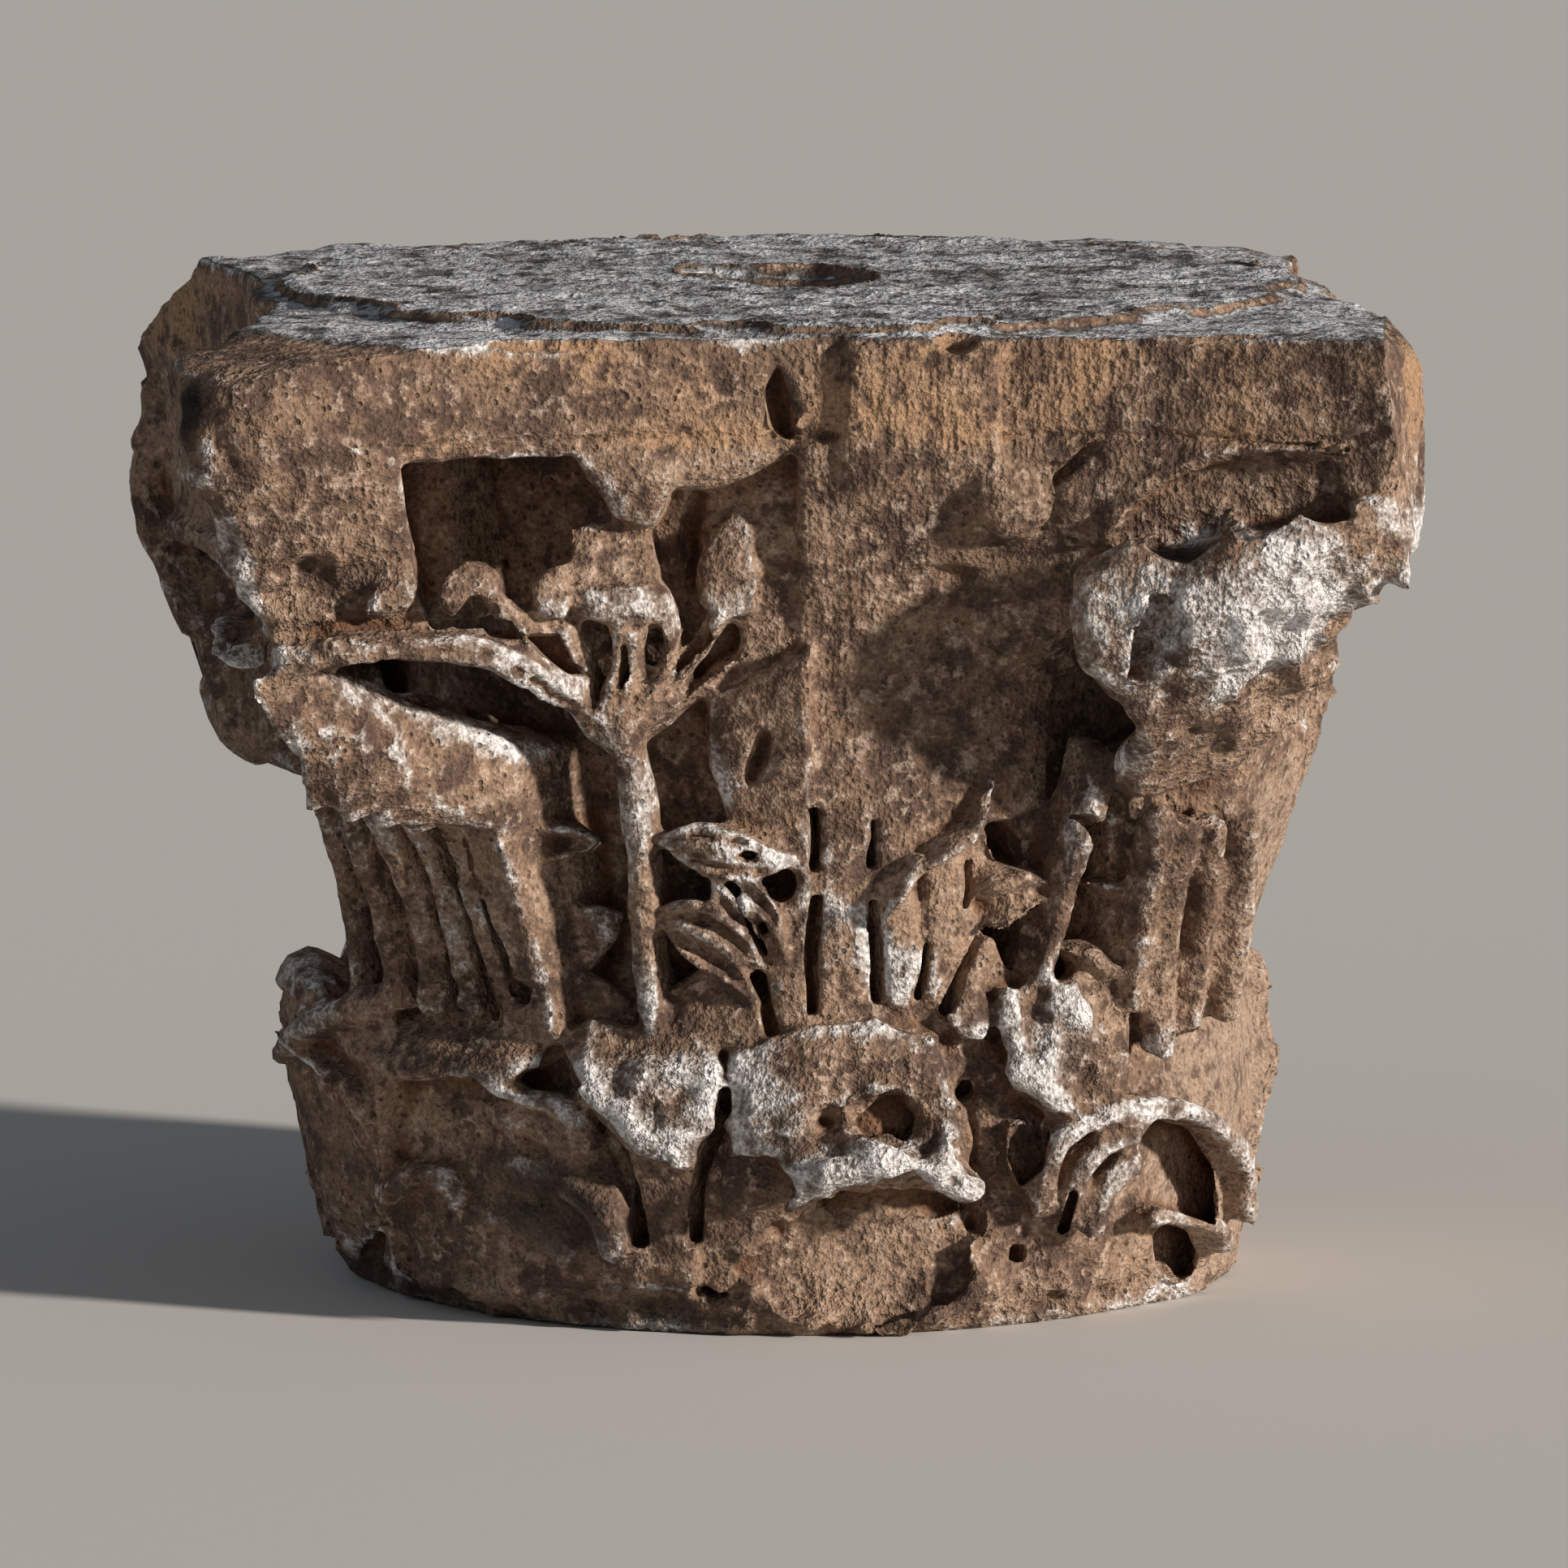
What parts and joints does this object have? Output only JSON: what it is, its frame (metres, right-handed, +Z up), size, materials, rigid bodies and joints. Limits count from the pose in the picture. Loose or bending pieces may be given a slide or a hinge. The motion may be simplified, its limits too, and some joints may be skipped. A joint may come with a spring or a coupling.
{
  "type": "marble capital",
  "caption": "Weathered Corinthian-type marble capital carved from one block, with hollow-sided abacus, leaf rings, drilled slots and broken corners.",
  "frame": {"origin": "centre of the lower bed, the face that rests on the column shaft", "axes": "+Z up, -Y the front face seen in the picture, +X to the viewer's right"},
  "size_m": [0.7121, 0.743, 0.585],
  "materials": {
    "weathered_marble": "weathered marble with ochre and brown patina, rough and pitted, with pale crust on the high edges"
  },
  "bodies": {
    "root": {"marble_capital": "weathered_marble"}
  },
  "joints": []
}
